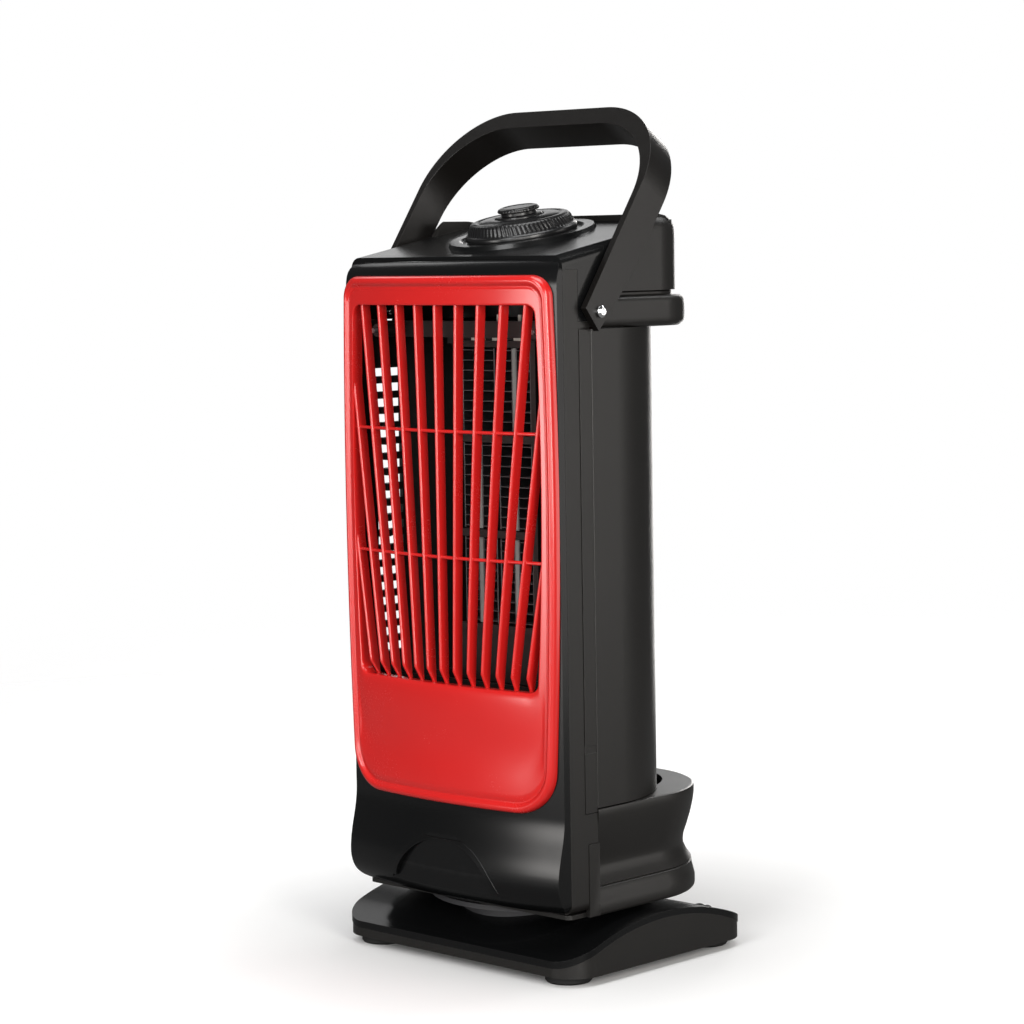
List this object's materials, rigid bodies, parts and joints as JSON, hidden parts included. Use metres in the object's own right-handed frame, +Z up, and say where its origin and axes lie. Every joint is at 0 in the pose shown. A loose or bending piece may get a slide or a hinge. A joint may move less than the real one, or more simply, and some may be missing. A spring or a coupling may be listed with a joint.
{
  "type": "ceramic space heater",
  "caption": "Upright ceramic fan heater with a swivelling tower on an arched base, a slatted front outlet, a rear cord tray, two top knobs and a bail handle",
  "frame": {"origin": "centre of the base on the plane its feet stand on", "axes": "+Z up, the air outlet faces -Y, +X is the right side seen from behind the outlet"},
  "size_m": [0.1808, 0.1588, 0.4583],
  "materials": {
    "satin_black": "satin, fine moulded grain",
    "handle_black": "satin, fine moulded grain",
    "gloss_black": "polished piano black",
    "dial_black": "half gloss with knurled edge",
    "gloss_red": "polished red",
    "foot_rubber": "matt",
    "gland_rubber": "matt",
    "chrome_steel": "bright plated",
    "zinc_steel": "zinc plated",
    "bright_aluminium": "bright",
    "lamination_steel": "stamped",
    "copper_winding": "enamelled copper wire",
    "bearing_bronze": "sintered",
    "grey_ceramic": "fired ceramic",
    "white_ceramic": "glazed ceramic",
    "white_nylon": "natural nylon",
    "bearing_nylon": "filled nylon"
  },
  "bodies": {
    "base": {"base_feet": "foot_rubber", "base_floor": "satin_black", "base_shell": "satin_black", "base_cover": "gloss_black", "base_screws": "zinc_steel", "swivel_bush": "bearing_nylon", "crank_yoke": "white_nylon", "cord_gland": "gland_rubber"},
    "tower": {"body_floor": "satin_black", "hub_retainer": "zinc_steel", "swivel_motor": "zinc_steel", "cord_tray": "satin_black", "tilt_switch": "white_nylon", "front_shell": "gloss_black", "chin_badge": "gloss_black", "body_frame": "satin_black", "left_strip": "satin_black", "right_strip": "satin_black", "rear_column": "satin_black", "cap_rim": "satin_black", "rear_cap": "satin_black", "top_deck": "gloss_black", "grille": "gloss_red", "left_pivot_screw": "chrome_steel", "right_pivot_screw": "chrome_steel", "pivot_washers": "zinc_steel", "rotary_switch": "satin_black", "thermostat_body": "white_nylon", "heater_frame": "satin_black", "ptc_stones": "grey_ceramic", "heater_fins": "bright_aluminium", "terminal_blocks": "white_ceramic", "thermal_cutoff": "bearing_bronze", "thermal_fuse": "zinc_steel", "motor_stator": "lamination_steel", "motor_coil": "copper_winding", "motor_brackets": "zinc_steel", "motor_bolts": "zinc_steel", "motor_mount": "satin_black", "top_bearing": "bearing_bronze", "bearing_bridge": "satin_black", "fan_scroll": "satin_black", "fan_tongue": "satin_black", "body_screws": "zinc_steel"},
    "handle": {"bail_handle": "handle_black"},
    "dial": {"mode_dial": "dial_black", "mode_shaft": "zinc_steel"},
    "knob": {"thermostat_knob": "dial_black", "thermostat_shaft": "zinc_steel"},
    "wheel": {"impeller": "bright_aluminium", "fan_shaft": "zinc_steel", "fan_rotor": "lamination_steel"},
    "crank": {"crank_disc": "white_nylon"}
  },
  "joints": [
    {"name": "tower_swivel", "type": "hinge", "parent": "base", "child": "tower", "pos_m": [0, 0, 0.0332], "axis": [0, 0, 1], "range_deg": [-30, 30]},
    {"name": "handle_swing", "type": "hinge", "parent": "tower", "child": "handle", "pos_m": [0, -0.038, 0.35], "axis": [-1, 0, 0], "range_deg": [-34.5, 58]},
    {"name": "mode_turn", "type": "hinge", "parent": "tower", "child": "dial", "pos_m": [0, -0.008, 0.38946], "axis": [0, -0.1857, 0.9826], "range_deg": [0, 270]},
    {"name": "thermostat_turn", "type": "hinge", "parent": "tower", "child": "knob", "pos_m": [0, -0.008, 0.38946], "axis": [0, -0.1857, 0.9826], "range_deg": [0, 270]},
    {"name": "wheel_spin", "type": "hinge", "parent": "tower", "child": "wheel", "pos_m": [0.002, 0.017, 0.2], "axis": [0, 0, 1], "continuous": true},
    {"name": "crank_spin", "type": "hinge", "parent": "tower", "child": "crank", "pos_m": [-0.02, 0, 0.03], "axis": [0, 0, 1], "continuous": true}
  ]
}
